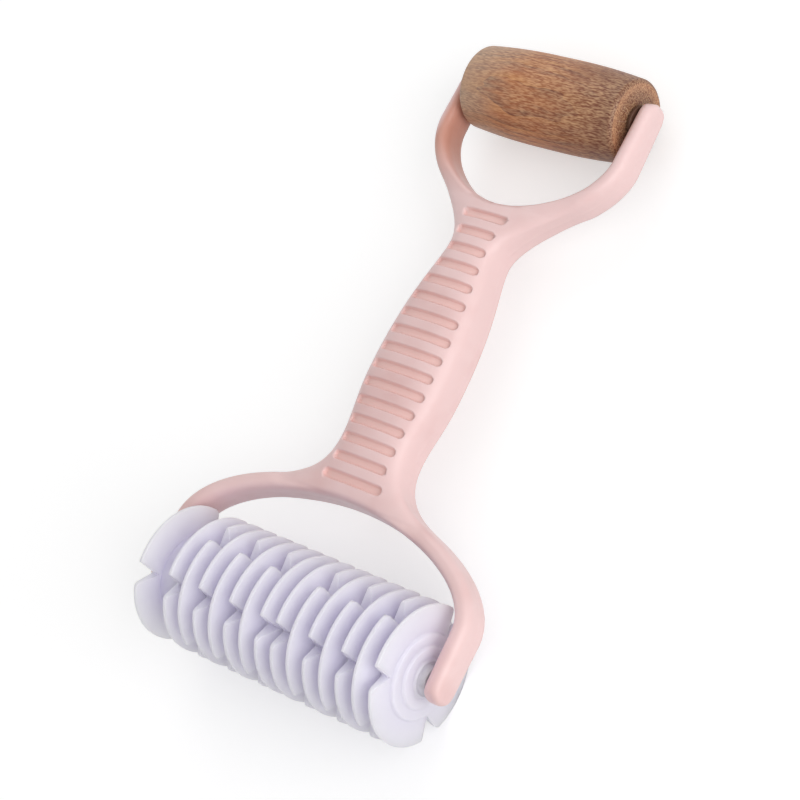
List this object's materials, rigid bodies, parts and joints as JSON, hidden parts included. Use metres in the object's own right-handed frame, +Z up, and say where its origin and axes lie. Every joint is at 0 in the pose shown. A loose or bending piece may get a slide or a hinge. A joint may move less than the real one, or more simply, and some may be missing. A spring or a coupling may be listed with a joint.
{
  "type": "double-ended dough roller",
  "caption": "Hand tool with a plain wooden roller at one end and a notched lattice-cutting roller at the other, joined by a grooved one-piece handle.",
  "frame": {"origin": "bottom centre of the bounding box, on the table plane that both rollers stand on", "axes": "+X across the tool, along both roller axles; +Y from the lattice roller to the wooden roller; +Z up, out of the grooved face of the grip"},
  "size_m": [0.1266, 0.228, 0.0458],
  "materials": {
    "handle": "satin pale pink plastic",
    "lattice": "satin lavender-white plastic",
    "wood": "smooth unvarnished wood",
    "pin": "plain steel rod",
    "bush": "brown nylon"
  },
  "bodies": {
    "handle_body": {"handle_frame": "handle", "lattice_pin": "pin", "wood_pin": "pin"},
    "lattice_body": {"lattice_drum_left": "lattice", "lattice_drum_right": "lattice", "lattice_end_flange": "lattice"},
    "wood_body": {"wood_roller": "wood", "wood_bush_left": "bush", "wood_bush_right": "bush"}
  },
  "joints": [
    {"name": "lattice_spin", "type": "hinge", "parent": "handle_body", "child": "lattice_body", "pos_m": [0, -0.09107, 0.02291], "axis": [1, 0, 0], "continuous": true},
    {"name": "wood_spin", "type": "hinge", "parent": "handle_body", "child": "wood_body", "pos_m": [0, 0.09867, 0.01534], "axis": [1, 0, 0], "continuous": true}
  ]
}
